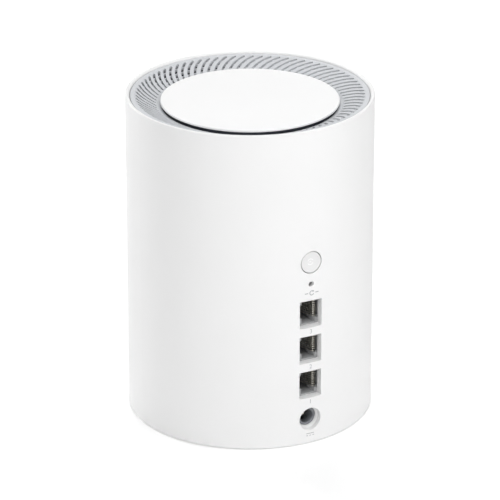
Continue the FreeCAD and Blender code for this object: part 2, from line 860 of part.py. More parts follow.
def capacitors():
    """Can capacitors standing on square bases."""
    cans = []
    for y, z in ((26.0, 13.5), (16.0, 13.5), (4.0, 15.0), (-3.0, 24.0)):
        base = box(PCB_X1, -7.2, y - 3.3, y + 3.3, z - 3.3, z + 3.3)
        can = rod(3.1, Vector(-7.3, y, z), X_AXIS, 6.5)
        rim = edges_where(can, lambda edge, mid: mid.x > -0.9)
        cans.append(base.fuse(can.makeFillet(0.4, rim)).removeSplitter())
    return Part.makeCompound(cans)


def status_led():
    """Surface-mount light behind the light pipe."""
    body = box(PCB_X1, -7.0, -44.6, -42.0, WINDOW_Z - 1.2, WINDOW_Z + 1.2)
    lens = rod(0.9, Vector(-7.1, -43.3, WINDOW_Z), X_AXIS, 0.3)
    return body.fuse(lens).removeSplitter()


def light_pipe():
    """Clear guide from the board light to the window in the sleeve."""
    half_w = WINDOW_W / 2
    half_h = WINDOW_H / 2
    nose = rounded_block(
        -half_w,
        half_w,
        -54.75,
        -46.0,
        WINDOW_Z - half_h,
        WINDOW_Z + half_h,
        half_h - 0.05,
        Y_AXIS,
    )
    drum = rod(SLEEVE_R - 0.15, Vector(0, 0, 0), Z_AXIS, 40)
    nose = nose.common(drum)
    outline = [
        Vector(-6.6, -45.2, WINDOW_Z - 1.4),
        Vector(-6.6, -41.6, WINDOW_Z - 1.4),
        Vector(-1.6, -41.6, WINDOW_Z - 1.4),
        Vector(2.5, -45.7, WINDOW_Z - 1.4),
        Vector(2.5, -49.0, WINDOW_Z - 1.4),
        Vector(-2.6, -49.0, WINDOW_Z - 1.4),
        Vector(-2.6, -45.2, WINDOW_Z - 1.4),
    ]
    outline.append(outline[0])
    knee = Part.Face(Part.makePolygon(outline)).extrude(Vector(0, 0, 2.8))
    return nose.fuse(knee).removeSplitter()


# ---- antennas ------------------------------------------------------------

def antenna(azimuth):
    """Flat board antenna with a slotted strip and a feed block."""
    board = box(
        ANTENNA_R, 49.0, -6.0, 6.0, ANTENNA_Z0, ANTENNA_Z1
    )
    for z in (96.0, 108.0):
        board = board.cut(box(47, 50, -6.5, 3.5, z, z + 1.2))
    block = box(46.9, ANTENNA_R, -1.5, 1.5, ANTENNA_Z0 + 13, ANTENNA_Z0 + 16)
    return turned(board.fuse(block).removeSplitter(), azimuth)


FEED_Z = ANTENNA_Z0 + 16
CABLE_END_Y = 25.8
CABLE_BENDS = (12.0, 7.0)
# for each antenna: azimuth, connector x, height and side of the board
ANTENNAS = (
    (45.0, -6.35, 119.0, 1),
    (135.0, -10.85, 121.0, 1),
    (225.0, -10.85, 121.0, -1),
    (315.0, -6.35, 119.0, -1),
)


def antenna_cable(azimuth, end_x, z, side):
    """Coaxial lead from an antenna feed to its board connector."""
    start = polar(ANTENNA_R - 0.62, azimuth, FEED_Z)
    points = [
        start,
        Vector(start.x, start.y, z),
        Vector(end_x, start.y, z),
        Vector(end_x, side * CABLE_END_Y, z),
    ]
    return swept_round(points, CABLE_BENDS, COAX_R)


def coax_connectors():
    """Four snap-on coaxial connectors on the main board."""
    parts = []
    for azimuth, end_x, z, side in ANTENNAS:
        face = PCB_X1 if end_x > PCB_X0 else PCB_X0
        out = X_AXIS if end_x > PCB_X0 else X_AXIS * -1
        centre_y = CABLE_END_Y - 1.8
        body = rod(1.5, Vector(face, side * centre_y, z), out, 2.3)
        x0 = end_x - 0.75
        near = side * (centre_y + 0.8)
        far = side * CABLE_END_Y
        barrel = box(
            x0, x0 + 1.5, min(near, far), max(near, far), z - 0.75, z + 0.75
        )
        parts.append(body.fuse(barrel).removeSplitter())
    return Part.makeCompound(parts)


# ---- fasteners -----------------------------------------------------------

def base_screws():
    """Four screws that draw the base plate up to the chassis."""
    return Part.makeCompound(
        [
            screw(
                1.4,
                9.0,
                2.8,
                1.1,
                polar(BASE_SCREW_R, azimuth, BASE_Z0 + 1.2),
                Z_AXIS * -1,
            )
            for azimuth in STRUT_AZ
        ]
    )


def pcb_screws():
    """Screws that hold the main board to the chassis ribs."""
    return Part.makeCompound(
        [
            screw(1.15, 4.4, 2.4, 1.5, Vector(PCB_X1, y, z), X_AXIS)
            for y, z in PCB_SCREWS
        ]
    )


def heatsink_screws():
    """Screws through the spreader and board into the heatsink posts."""
    return Part.makeCompound(
        [
            screw(1.15, 8.4, 2.4, 1.5, Vector(-12.4, y, z), X_AXIS * -1)
            for y, z in SINK_SCREWS
        ]
    )


def button_board_screws():
    """Screws that hold the small board to its two bosses."""
    return Part.makeCompound(
        [
            screw(0.85, 4.8, 1.9, 1.2, Vector(x, BOARD_Y0, z), Y_AXIS * -1)
            for x, z in BOARD_BOSSES
        ]
    )


def cover_screws():
    """Screws from the chassis tabs up into the carrier bosses."""
    return Part.makeCompound(
        [
            screw(
                1.2,
                9.0,
                2.6,
                1.6,
                polar(COVER_BOSS_R, azimuth, CHASSIS_TOP - 3.0),
                Z_AXIS * -1,
            )
            for azimuth in COVER_BOSS_AZ
        ]
    )


# ---- all the pieces ------------------------------------------------------

def all_parts():
    """Every piece by node name."""
    parts = {
        "outer_sleeve": outer_sleeve(),
        "vent_ring": vent_ring(),
        "top_disc": top_disc(),
        "cover_carrier": cover_carrier(),
        "chassis_frame": chassis_frame(),
        "base_plate": base_plate(),
        "main_pcb": main_pcb(),
        "dc_jack_housing": dc_jack_housing(),
        "dc_jack_pin": dc_jack_pin(),
        "dc_jack_spring": dc_jack_spring(),
        "pairing_button": pairing_button(),
        "button_board": button_board(),
        "pairing_switch": tact_switch(BUTTON_Z, 6.0, 47.6, 1.8),
        "pairing_plunger": plunger(BUTTON_Z, 1.72, 46.75, PLUNGER_TIP_Y),
        "reset_switch": tact_switch(PINHOLE_Z, 4.5, 48.2, 1.08),
        "reset_plunger": plunger(PINHOLE_Z, 1.0, 47.35, RESET_TIP_Y),
        "board_header": board_header(),
        "heatsink": heatsink(),
        "heat_spreader": heat_spreader(),
        "soc_chip": chip(SOC_SPOT[0], SOC_SPOT[1], 17.0, 17.0, 1.9),
        "wifi_chip_1": chip(WIFI_SPOTS[0][0], WIFI_SPOTS[0][1], 9.0, 9.0, 1.0),
        "wifi_chip_2": chip(WIFI_SPOTS[1][0], WIFI_SPOTS[1][1], 9.0, 9.0, 1.0),
        "switch_chip": chip(3.0, 44.0, 14.0, 14.0, 1.2),
        "memory_chips": memory_chips(),
        "lan_transformers": lan_transformers(),
        "power_inductors": power_inductors(),
        "capacitors": capacitors(),
        "status_led": status_led(),
        "light_pipe": light_pipe(),
        "coax_connectors": coax_connectors(),
        "base_screws": base_screws(),
        "pcb_screws": pcb_screws(),
        "heatsink_screws": heatsink_screws(),
        "button_board_screws": button_board_screws(),
        "cover_screws": cover_screws(),
    }
    y, z = SOC_SPOT
    parts["soc_thermal_pad"] = pad(PCB_X1 + 1.9, SINK_X0, y, z, 15.0, 15.0)
    parts["spreader_thermal_pad"] = pad(-10.9, PCB_X0, y, z, 20.0, 20.0)
    for index, (y, z) in enumerate(WIFI_SPOTS, 1):
        parts[f"shield_can_{index}"] = shield_can(y, z, 20.0, 16.0, CAN_H)
        parts[f"can_thermal_pad_{index}"] = pad(
            PCB_X1 + CAN_H, SINK_X0, y, z, 17.0, 13.0
        )
    for index, z in enumerate(PORT_Z, 1):
        parts[f"rj45_jack_{index}"] = rj45_jack(z)
        parts[f"rj45_contacts_{index}"] = rj45_contacts(z)
    for index, azimuth in enumerate((0.0, 90.0, 180.0, 270.0), 1):
        parts[f"rubber_foot_{index}"] = rubber_foot(azimuth)
    for index, spec in enumerate(ANTENNAS, 1):
        parts[f"antenna_{index}"] = antenna(spec[0])
        parts[f"antenna_cable_{index}"] = antenna_cable(*spec)
    return parts


def main():
    """Write one STEP file for each piece."""
    os.makedirs("parts", exist_ok=True)
    for name, shape in all_parts().items():
        shape.exportStep(f"parts/{name}.step")
        solids = len(shape.Solids)
        print(name, solids, round(shape.Volume, 2), shape.isValid())


main()
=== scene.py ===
import logging
import math
from dataclasses import dataclass
from enum import Enum

import bpy
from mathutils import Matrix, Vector


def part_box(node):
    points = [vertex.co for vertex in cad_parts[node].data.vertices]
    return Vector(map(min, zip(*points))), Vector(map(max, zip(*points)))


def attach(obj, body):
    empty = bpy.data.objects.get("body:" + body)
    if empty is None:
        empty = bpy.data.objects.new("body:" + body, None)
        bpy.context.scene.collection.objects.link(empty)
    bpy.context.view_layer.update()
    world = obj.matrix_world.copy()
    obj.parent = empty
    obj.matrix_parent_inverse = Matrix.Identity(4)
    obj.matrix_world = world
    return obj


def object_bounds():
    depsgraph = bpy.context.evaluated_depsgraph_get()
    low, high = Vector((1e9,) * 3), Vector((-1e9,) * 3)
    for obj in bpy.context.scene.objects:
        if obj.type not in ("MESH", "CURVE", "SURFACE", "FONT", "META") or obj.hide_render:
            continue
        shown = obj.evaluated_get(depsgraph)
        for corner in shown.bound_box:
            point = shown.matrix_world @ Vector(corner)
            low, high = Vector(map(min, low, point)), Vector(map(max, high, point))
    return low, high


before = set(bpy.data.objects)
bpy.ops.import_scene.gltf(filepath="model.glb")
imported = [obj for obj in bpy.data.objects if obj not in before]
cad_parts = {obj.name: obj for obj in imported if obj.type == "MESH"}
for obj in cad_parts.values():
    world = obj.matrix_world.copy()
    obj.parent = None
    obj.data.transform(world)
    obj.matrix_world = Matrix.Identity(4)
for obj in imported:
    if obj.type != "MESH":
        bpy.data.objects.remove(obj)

CAD_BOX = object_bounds()
LOG = logging.getLogger("wifi_node")
MM = 1e-3
UM = 1e-6


# ---- small helpers ---------------------------------------------------------

def linear(hex_colour: str) -> tuple[float, float, float, float]:
    """Turn an sRGB hex colour into linear light.

    Args:
        hex_colour: Six hex digits after a hash sign.

    Returns:
        Linear red, green and blue, with an alpha of one.
    """
    digits = hex_colour.lstrip("#")
    levels = [int(digits[start:start + 2], 16) / 255 for start in (0, 2, 4)]
    red, green, blue = [
        level / 12.92 if level <= 0.04045 else ((level + 0.055) / 1.055) ** 2.4
        for level in levels
    ]
    return red, green, blue, 1.0


def add_node(
    tree: bpy.types.NodeTree,
    kind: str,
    values: dict | None = None,
    links: dict | None = None,
    **settings: object,
) -> bpy.types.Node:
    """Add one shader node with its settings, values and links.

    Args:
        tree: Node tree that takes the node.
        kind: Blender's name for the node type.
        values: Socket names and their constant values.
        links: Socket names and the outputs that feed them.
        **settings: Properties of the node itself.

    Returns:
        The new node.
    """
    node = tree.nodes.new(kind)
    for name, value in settings.items():
        setattr(node, name, value)
    for socket, value in (values or {}).items():
        node.inputs[socket].default_value = value
    for socket, source in (links or {}).items():
        tree.links.new(source, node.inputs[socket])
    return node


def node_object(name: str) -> bpy.types.Object:
    """The CAD object of one node."""
    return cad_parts[name]


def middle_height(name: str) -> float:
    """Height of a CAD node's middle above the table.

    Args:
        name: Name of the node.

    Returns:
        The height in millimetres.
    """
    low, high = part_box(name)
    return (low.z + high.z) / 2 / MM


# ---- finishes --------------------------------------------------------------

@dataclass(frozen=True)
class Finish:
    """A surface finish, made into one shared material.

    Attributes:
        name: Material name, after the real material and process.
        roughness: Roughness of the bare surface.
        ior: Index of refraction.
        metallic: One for metals.
    """

    name: str
    roughness: float = 0.5
    ior: float = 1.5
    metallic: float = 0.0

    def material(self) -> bpy.types.Material:
        """Make the material on first use and return it.

        Returns:
            The material with this finish's name.
        """
        found = bpy.data.materials.get(self.name)
        if found is not None:
            return found
        made = bpy.data.materials.new(self.name)
        made.use_nodes = True
        tree = made.node_tree
        tree.nodes.clear()
        shader = add_node(
            tree,
            "ShaderNodeBsdfPrincipled",
            {"Roughness": self.roughness, "IOR": self.ior, "Metallic": self.metallic},
        )
        add_node(tree, "ShaderNodeOutputMaterial", links={"Surface": shader.outputs["BSDF"]})
        self.paint(tree, shader)
        return made

    def paint(self, tree: bpy.types.NodeTree, shader: bpy.types.Node) -> None:
        """Add this finish's own nodes.

        Args:
            tree: Node tree of the material.
            shader: Its Principled shader.
        """
        raise NotImplementedError


def mixed_colour(
    tree: bpy.types.NodeTree, factor: bpy.types.NodeSocket, first: str, second: str
) -> bpy.types.NodeSocket:
    """Blend two sRGB colours by a pattern.

    Args:
        tree: Node tree of the material.
        factor: Output that runs from zero to one.
        first: Colour where the pattern is zero.
        second: Colour where the pattern is one.

    Returns:
        The blended colour.
    """
    ramp = add_node(tree, "ShaderNodeValToRGB", links={"Fac": factor})
    ramp.color_ramp.elements[0].color = linear(first)
    ramp.color_ramp.elements[1].color = linear(second)
    return ramp.outputs["Color"]


def noise(
    tree: bpy.types.NodeTree,
    place: bpy.types.NodeSocket,
    size_mm: float,
    detail: float = 2.0,
) -> bpy.types.NodeSocket:
    """A noise pattern whose blotches have a real size.

    Args:
        tree: Node tree of the material.
        place: Coordinates in metres.
        size_mm: Width of one blotch in millimetres.
        detail: Octaves of finer noise.

    Returns:
        The pattern, from zero to one.
    """
    made = add_node(
        tree,
        "ShaderNodeTexNoise",
        {"Scale": 1 / (size_mm * MM), "Detail": detail},
        {"Vector": place},
    )
    return made.outputs["Fac"]


def uneven_gloss(
    tree: bpy.types.NodeTree,
    shader: bpy.types.Node,
    pattern: bpy.types.NodeSocket,
    middle: float,
    spread: float,
) -> None:
    """Let the roughness wander with a pattern.

    Args:
        tree: Node tree of the material.
        shader: Its Principled shader.
        pattern: Output that runs from zero to one.
        middle: Mean roughness.
        spread: How far it strays either way.
    """
    gloss = add_node(
        tree,
        "ShaderNodeMapRange",
        {"To Min": middle - spread, "To Max": middle + spread},
        {"Value": pattern},
    )
    tree.links.new(gloss.outputs["Result"], shader.inputs["Roughness"])


def bumped(
    tree: bpy.types.NodeTree,
    shader: bpy.types.Node,
    height: bpy.types.NodeSocket,
    depth_um: float,
) -> None:
    """Raise a pattern as fine relief.

    Args:
        tree: Node tree of the material.
        shader: Its Principled shader.
        height: Pattern from zero to one.
        depth_um: Height of the relief in micrometres.
    """
    bump = add_node(
        tree, "ShaderNodeBump", {"Distance": depth_um * UM}, {"Height": height}
    )
    tree.links.new(bump.outputs["Normal"], shader.inputs["Normal"])


def stretched(
    tree: bpy.types.NodeTree, scale: tuple[float, float, float]
) -> bpy.types.NodeSocket:
    """Object coordinates squeezed along some axes.

    Args:
        tree: Node tree of the material.
        scale: Factor for each axis.

    Returns:
        The stretched coordinates.
    """
    place = add_node(tree, "ShaderNodeTexCoord").outputs["Object"]
    mapping = add_node(tree, "ShaderNodeMapping", {"Scale": scale}, {"Vector": place})
    return mapping.outputs["Vector"]


@dataclass(frozen=True)
class MouldedPlastic(Finish):
    """Injection-moulded plastic with the tool's spark-eroded grain.

    Attributes:
        colour: Main colour.
        drift: Colour that broad flow marks lean towards.
        grain_mm: Width of the grain's bumps.
        grain_um: Height of the grain's bumps.
        spread: How much the roughness varies.
        flow_mm: Width of the flow marks, which are broad on parts of this size.
        gloss_mm: Width of the patches of gloss.
    """

    colour: str = "#ffffff"
    drift: str = "#f0f0f0"
    grain_mm: float = 0.5
    grain_um: float = 4.0
    spread: float = 0.04
    flow_mm: float = 30.0
    gloss_mm: float = 9.0

    def paint(self, tree: bpy.types.NodeTree, shader: bpy.types.Node) -> None:
        """Add flow-mark colour, uneven gloss and grain.

        Args:
            tree: Node tree of the material.
            shader: Its Principled shader.
        """
        place = add_node(tree, "ShaderNodeTexCoord").outputs["Object"]
        flow = noise(tree, place, self.flow_mm)
        tree.links.new(
            mixed_colour(tree, flow, self.colour, self.drift), shader.inputs["Base Color"]
        )
        gloss = noise(tree, place, self.gloss_mm)
        uneven_gloss(tree, shader, gloss, self.roughness, self.spread)
        bumped(tree, shader, noise(tree, place, self.grain_mm, 3.0), self.grain_um)


@dataclass(frozen=True)
class FilledNylon(Finish):
    """Glass-filled polyamide, with short fibres showing at the skin.

    Attributes:
        colour: Colour of the resin.
        fibre: Paler colour where fibres reach the skin.
        fibre_mm: Width of one fibre as drawn.
        along: Squeeze of the pattern along the flow, which lengthens the fibres.
        spread: How much the roughness varies.
        depth_um: How far the fibres stand out.
    """

    colour: str = "#5b5d60"
    fibre: str = "#6e7073"
    fibre_mm: float = 0.35
    along: float = 0.3
    spread: float = 0.08
    depth_um: float = 5.0

    def paint(self, tree: bpy.types.NodeTree, shader: bpy.types.Node) -> None:
        """Add short pale fibres lying along the flow.

        Args:
            tree: Node tree of the material.
            shader: Its Principled shader.
        """
        # real fibres are 0.3 mm long and far thinner; these are coarser so that they show
        place = stretched(tree, (1.0, self.along, 1.0))
        fibres = noise(tree, place, self.fibre_mm, 4.0)
        tree.links.new(
            mixed_colour(tree, fibres, self.colour, self.fibre), shader.inputs["Base Color"]
        )
        uneven_gloss(tree, shader, fibres, self.roughness, self.spread)
        bumped(tree, shader, fibres, self.depth_um)


@dataclass(frozen=True)
class WorkedMetal(Finish):
    """Metal with the streaks that sawing, drawing or brushing leaves.

    Attributes:
        colour: Colour of the clean metal.
        dull: Colour in the streaks.
        streak: Squeeze of the streak pattern along each axis.
        streak_mm: Width of one streak.
        depth_um: Depth of the streaks.
        spread: How much the roughness varies.
        gloss_mm: Width of the patches of gloss.
    """

    colour: str = "#d9dadc"
    dull: str = "#b9babd"
    streak: tuple[float, float, float] = (1.0, 1.0, 1.0)
    streak_mm: float = 0.3
    depth_um: float = 3.0
    spread: float = 0.1
    gloss_mm: float = 4.0

    def paint(self, tree: bpy.types.NodeTree, shader: bpy.types.Node) -> None:
        """Add streaks to the colour, the gloss and the relief.

        Args:
            tree: Node tree of the material.
            shader: Its Principled shader.
        """
        lines = noise(tree, stretched(tree, self.streak), self.streak_mm, 3.0)
        place = add_node(tree, "ShaderNodeTexCoord").outputs["Object"]
        tree.links.new(
            mixed_colour(tree, lines, self.colour, self.dull), shader.inputs["Base Color"]
        )
        gloss = noise(tree, place, self.gloss_mm)
        uneven_gloss(tree, shader, gloss, self.roughness, self.spread)
        bumped(tree, shader, lines, self.depth_um)


@dataclass(frozen=True)
class SolderMaskedBoard(Finish):
    """Glass-epoxy board: woven glass, copper tracks and a green mask.

    Attributes:
        mask: Colour of the mask over bare laminate.
        track: Paler colour of the mask over copper.
        pitch_mm: Grid that the tracks run on.
        yarn_mm: Distance between the glass yarns.
        weave_um: Height of the weave under the mask.
        gloss_mm: Width of the patches of gloss.
        spread: How much the roughness varies.
    """

    mask: str = "#0f4a2c"
    track: str = "#1f6a41"
    pitch_mm: float = 1.6
    yarn_mm: float = 0.5
    weave_um: float = 3.0
    gloss_mm: float = 5.0
    spread: float = 0.06

    def paint(self, tree: bpy.types.NodeTree, shader: bpy.types.Node) -> None:
        """Add tracks on a grid and the weave's fine relief.

        Args:
            tree: Node tree of the material.
            shader: Its Principled shader.
        """
        place = add_node(tree, "ShaderNodeTexCoord").outputs["Object"]
        cells = add_node(
            tree,
            "ShaderNodeTexVoronoi",
            {"Scale": 1 / (self.pitch_mm * MM), "Randomness": 0.35},
            {"Vector": place},
            distance="CHEBYCHEV",
        )
        edges = add_node(
            tree,
            "ShaderNodeMapRange",
            {"From Min": 0.30, "From Max": 0.36},
            {"Value": cells.outputs["Distance"]},
        )
        tree.links.new(
            mixed_colour(tree, edges.outputs["Result"], self.mask, self.track),
            shader.inputs["Base Color"],
        )
        # the wave texture turns 20 radians in each unit
        turns = math.tau / (20 * self.yarn_mm * MM)
        weave = add_node(tree, "ShaderNodeTexWave", {"Scale": turns}, {"Vector": place})
        bumped(tree, shader, weave.outputs["Fac"], self.weave_um)
        gloss = noise(tree, place, self.gloss_mm)
        uneven_gloss(tree, shader, gloss, self.roughness, self.spread)


@dataclass(frozen=True)
class Speckled(Finish):
    """Moulded compound or rubber full of fine filler.

    Attributes:
        colour: Colour of the binder.
        filler: Colour of the filler specks.
        speck_mm: Size of a speck.
        depth_um: Relief of the specks.
        gloss_mm: Width of the patches of gloss.
        spread: How much the roughness varies.
    """

    colour: str = "#1b1b1d"
    filler: str = "#2c2c2f"
    speck_mm: float = 0.25
    depth_um: float = 6.0
    gloss_mm: float = 3.0
    spread: float = 0.05

    def paint(self, tree: bpy.types.NodeTree, shader: bpy.types.Node) -> None:
        """Add filler specks to the colour and the relief.

        Args:
            tree: Node tree of the material.
            shader: Its Principled shader.
        """
        place = add_node(tree, "ShaderNodeTexCoord").outputs["Object"]
        specks = noise(tree, place, self.speck_mm, 3.0)
        tree.links.new(
            mixed_colour(tree, specks, self.colour, self.filler), shader.inputs["Base Color"]
        )
        gloss = noise(tree, place, self.gloss_mm)
        uneven_gloss(tree, shader, gloss, self.roughness, self.spread)
        bumped(tree, shader, specks, self.depth_um)


@dataclass(frozen=True)
class ClearResin(Finish):
    """Polished clear plastic that light passes through.

    Attributes:
        colour: Tint of the resin.
        hazy: Tint in the haze that polishing leaves.
        clearness: Share of light let through.
        haze_mm: Width of one wisp of haze.
        spread: How much the roughness varies.
        depth_um: Depth of the polishing marks.
    """

    colour: str = "#f4f6f7"
    hazy: str = "#e6eaec"
    clearness: float = 0.85
    haze_mm: float = 1.2
    spread: float = 0.03
    depth_um: float = 1.0

    def paint(self, tree: bpy.types.NodeTree, shader: bpy.types.Node) -> None:
        """Add transmission and faint polishing haze.

        Args:
            tree: Node tree of the material.
            shader: Its Principled shader.
        """
        shader.inputs["Transmission Weight"].default_value = self.clearness
        place = add_node(tree, "ShaderNodeTexCoord").outputs["Object"]
        haze = noise(tree, place, self.haze_mm, 3.0)
        tree.links.new(
            mixed_colour(tree, haze, self.colour, self.hazy), shader.inputs["Base Color"]
        )
        uneven_gloss(tree, shader, haze, self.roughness, self.spread)
        bumped(tree, shader, haze, self.depth_um)


class Finishes(Enum):
    """Every finish on the node, by what it is on the real thing."""

    # ABS from a fine spark-eroded tool: a soft, even white with a satin sheen
    SHELL = MouldedPlastic("satin_moulded_abs", 0.46, 1.53, colour="#eeeeee", drift="#ececec",
                           grain_mm=0.45, grain_um=2.0)
    # the same resin from a polished tool, so that it looks smoother; its colour, whiter than
    # the shell's, is painted light for the upward face that the overhead light brightens
    DISC = MouldedPlastic("polished_abs_painted_light", 0.30, 1.53, colour="#f7f7f7", drift="#f5f5f5",
                          grain_mm=0.8, grain_um=1.0)
    # pale grey pigment in the grille, with painted shade: the grey partly stands in for the
    # shade in its recess, so that it reads as a shadowed ring
    GRILLE = MouldedPlastic("grey_abs_with_painted_shade", 0.62, 1.53, colour="#c8cacd", drift="#c4c6ca",
                            grain_mm=0.4, grain_um=3.0)
    # black resin under the grille is painted shade: a dark part put where only shade falls, so
    # that the slots and the gap under the disc stay dark
    CARRIER = MouldedPlastic("painted_shade_black_abs", 0.55, 1.55, colour="#454951",
                             drift="#4b4f57", grain_mm=0.6, grain_um=6.0)
    # inner frame in a tougher blend, a touch whiter and flatter
    FRAME = MouldedPlastic("moulded_abs_blend", 0.50, 1.55, colour="#ececec", drift="#e6e6e6",
                           grain_mm=0.6, grain_um=5.0)
    # the base has a coarser tool grain that hides scuffs
    BASE = MouldedPlastic("grained_moulded_abs", 0.60, 1.53, colour="#e3e4e5", drift="#dddedf",
                          grain_mm=0.7, grain_um=14.0)
    # the cap is from the shell's resin in a polished tool; its colour, darker than the shell's,
    # is painted shade on the cap
    BUTTON = MouldedPlastic("satin_abs_cap_painted_shade", 0.34, 1.53, colour="#e4e4e4",
                            drift="#e2e2e2", grain_mm=0.3, grain_um=1.5)
    # silicone rubber looks dull and slightly chalky
    FOOT = Speckled("moulded_silicone_rubber", 0.75, 1.43, colour="#8b8d90", filler="#999b9e",
                    speck_mm=0.3, depth_um=8.0)
    # socket bodies are light grey with pale fibres
    SOCKET = FilledNylon("glass_filled_nylon", 0.50, 1.53, colour="#a4a5a6", fibre="#b0b1b2")
    # power inlet in a darker blue-grey nylon
    INLET = FilledNylon("moulded_nylon_inlet", 0.45, 1.53, colour="#7b7e82", fibre="#888b90")
    # a flash of pale gold over nickel and bronze: grey-gold, with dull wipe marks
    CONTACT = WorkedMetal("gold_flashed_bronze", 0.34, 1.5, 1.0, colour="#dedbd1",
                          dull="#b7b3a8", streak=(1.0, 0.1, 1.0), streak_mm=0.12)
    # nickel plate is bright and faintly yellow
    NICKEL = WorkedMetal("nickel_plated_brass", 0.22, 1.5, 1.0, colour="#cfccc4",
                         dull="#a9a69e", streak=(1.0, 0.15, 1.0), streak_mm=0.15)
    # zinc plate is bluish and blotchy
    SCREW = WorkedMetal("zinc_plated_steel", 0.35, 1.5, 1.0, colour="#c3c6ca",
                        dull="#9a9ea4", streak_mm=0.5)
    # extruded aluminium has lines along the way that it was drawn
    SINK = WorkedMetal("extruded_aluminium", 0.38, 1.5, 1.0, colour="#d4d6d8",
                       dull="#b4b7ba", streak=(1.0, 1.0, 0.04), streak_mm=0.35, depth_um=5.0)
    # sheet aluminium is rolled, with lines along the sheet
    SHEET = WorkedMetal("rolled_aluminium", 0.34, 1.5, 1.0, colour="#d9dbdd",
                        dull="#c0c2c5", streak=(1.0, 0.05, 1.0), streak_mm=0.3)
    # capacitor cans are drawn and clear-coated
    CAN = WorkedMetal("drawn_aluminium_can", 0.25, 1.5, 1.0, colour="#e2e3e4",
                      dull="#cacbcc", streak=(0.08, 1.0, 1.0), streak_mm=0.25)
    # tin plate is soft and grey, with cloudy patches
    SHIELD = WorkedMetal("tin_plated_steel", 0.33, 1.5, 1.0, colour="#c9c9c6",
                         dull="#b2b2ae", streak_mm=1.4)
    BOARD = SolderMaskedBoard("solder_masked_glass_epoxy", 0.38, 1.55)
    # antenna boards have the same mask in black
    ANTENNA = SolderMaskedBoard("black_masked_glass_epoxy", 0.42, 1.55, mask="#15191a",
                                track="#33312a")
    # chip packages are black epoxy full of silica
    CHIP = Speckled("silica_filled_epoxy", 0.55, 1.55)
    # pressed iron powder is darker and rougher
    FERRITE = Speckled("pressed_iron_powder", 0.62, 1.6, colour="#2b2b2d", filler="#404043",
                       speck_mm=0.35, depth_um=10.0)
    # switch bodies are plain black nylon
    SWITCH = FilledNylon("black_nylon", 0.45, 1.53, colour="#161617", fibre="#242426")
    # acetal plungers are black, slippery and slightly waxy
    PLUNGER = MouldedPlastic("moulded_acetal", 0.35, 1.48, colour="#2a2b2d", drift="#303134",
                             grain_mm=0.3, grain_um=2.0)
    # gap pads are soft, blue-grey and chalky
    PAD = Speckled("filled_silicone_pad", 0.85, 1.45, colour="#7f94a6", filler="#93a6b6",
                   speck_mm=0.4, depth_um=12.0)
    LED = ClearResin("cast_epoxy_lens", 0.18, 1.5, colour="#f5edc4", clearness=0.35)
    PIPE = ClearResin("polished_polycarbonate", 0.12, 1.585)
    # cable jackets are smooth and slightly greasy
    JACKET = MouldedPlastic("extruded_fluoropolymer", 0.30, 1.38, colour="#2a2b2d",
                            drift="#232426", grain_mm=1.0, grain_um=1.0)
    # pad-printed ink is matt and a little broken at this size
    INK = Speckled("pad_printed_ink", 0.6, 1.5, colour="#a9abae", filler="#bbbdbf",
                   speck_mm=0.2, depth_um=2.0)
    # the cap's mark is white ink, a shade brighter than the cap
    PALE_INK = Speckled("white_pad_printed_ink", 0.5, 1.5, colour="#fbfbfb", filler="#f5f5f5",
                        speck_mm=0.2, depth_um=1.0)

    def on(self, piece: bpy.types.Object) -> None:
        """Put this finish on every slot of a piece.

        Args:
            piece: CAD node or new piece.
        """
        material = self.value.material()
        if not piece.material_slots:
            piece.data.materials.append(material)
        for material_slot in piece.material_slots:
            material_slot.material = material


# ---- the parts -------------------------------------------------------------

def numbered(stem: str, count: int, finish: Finishes) -> dict[str, Finishes]:
    """Finish for a run of numbered nodes.

    Args:
        stem: Node name before its number.
        count: How many nodes there are.
        finish: Finish of each.

    Returns:
        Node names with the finish.
    """
    return {f"{stem}_{index}": finish for index in range(1, count + 1)}


class SubAssembly:
    """CAD nodes that go together, each with its finish."""

    def finishes(self) -> dict[str, Finishes]:
        """Choose the finish of each node.

        Returns:
            Node names with their finishes.
        """
        raise NotImplementedError

    def build(self) -> None:
        """Dress the nodes and report each."""
        for node, finish in self.finishes().items():
            finish.on(node_object(node))
            LOG.info("%s: dressed %s", type(self).__name__, node)


@dataclass
class Enclosure(SubAssembly):
    """Sleeve, cover, inner frame, base and feet.

    Attributes:
        feet: How many feet there are.
    """

    feet: int = 4

    def finishes(self) -> dict[str, Finishes]:
        """Choose the finish of each node.

        Returns:
            Node names with their finishes.
        """
        return {
            "outer_sleeve": Finishes.SHELL,
            "vent_ring": Finishes.GRILLE,
            "top_disc": Finishes.DISC,
            "cover_carrier": Finishes.CARRIER,
            "chassis_frame": Finishes.FRAME,
            "base_plate": Finishes.BASE,
            "light_pipe": Finishes.PIPE,
        } | numbered("rubber_foot", self.feet, Finishes.FOOT)


@dataclass
class Sockets(SubAssembly):
    """Network sockets and the power inlet.

    Attributes:
        network: How many network sockets there are.
    """

    network: int = 3

    def finishes(self) -> dict[str, Finishes]:
        """Choose the finish of each node.

        Returns:
            Node names with their finishes.
        """
        return (
            {
                "dc_jack_housing": Finishes.INLET,
                "dc_jack_pin": Finishes.NICKEL,
                "dc_jack_spring": Finishes.NICKEL,
            }
            | numbered("rj45_jack", self.network, Finishes.SOCKET)
            | numbered("rj45_contacts", self.network, Finishes.CONTACT)
        )


class Controls(SubAssembly):
    """Pairing button, both switches and their board."""

    def finishes(self) -> dict[str, Finishes]:
        """Choose the finish of each node.

        Returns:
            Node names with their finishes.
        """
        return {
            "pairing_button": Finishes.BUTTON,
            "pairing_switch": Finishes.SWITCH,
            "pairing_plunger": Finishes.PLUNGER,
            "reset_switch": Finishes.SWITCH,
            "reset_plunger": Finishes.PLUNGER,
            "button_board": Finishes.BOARD,
            "board_header": Finishes.SWITCH,
        }


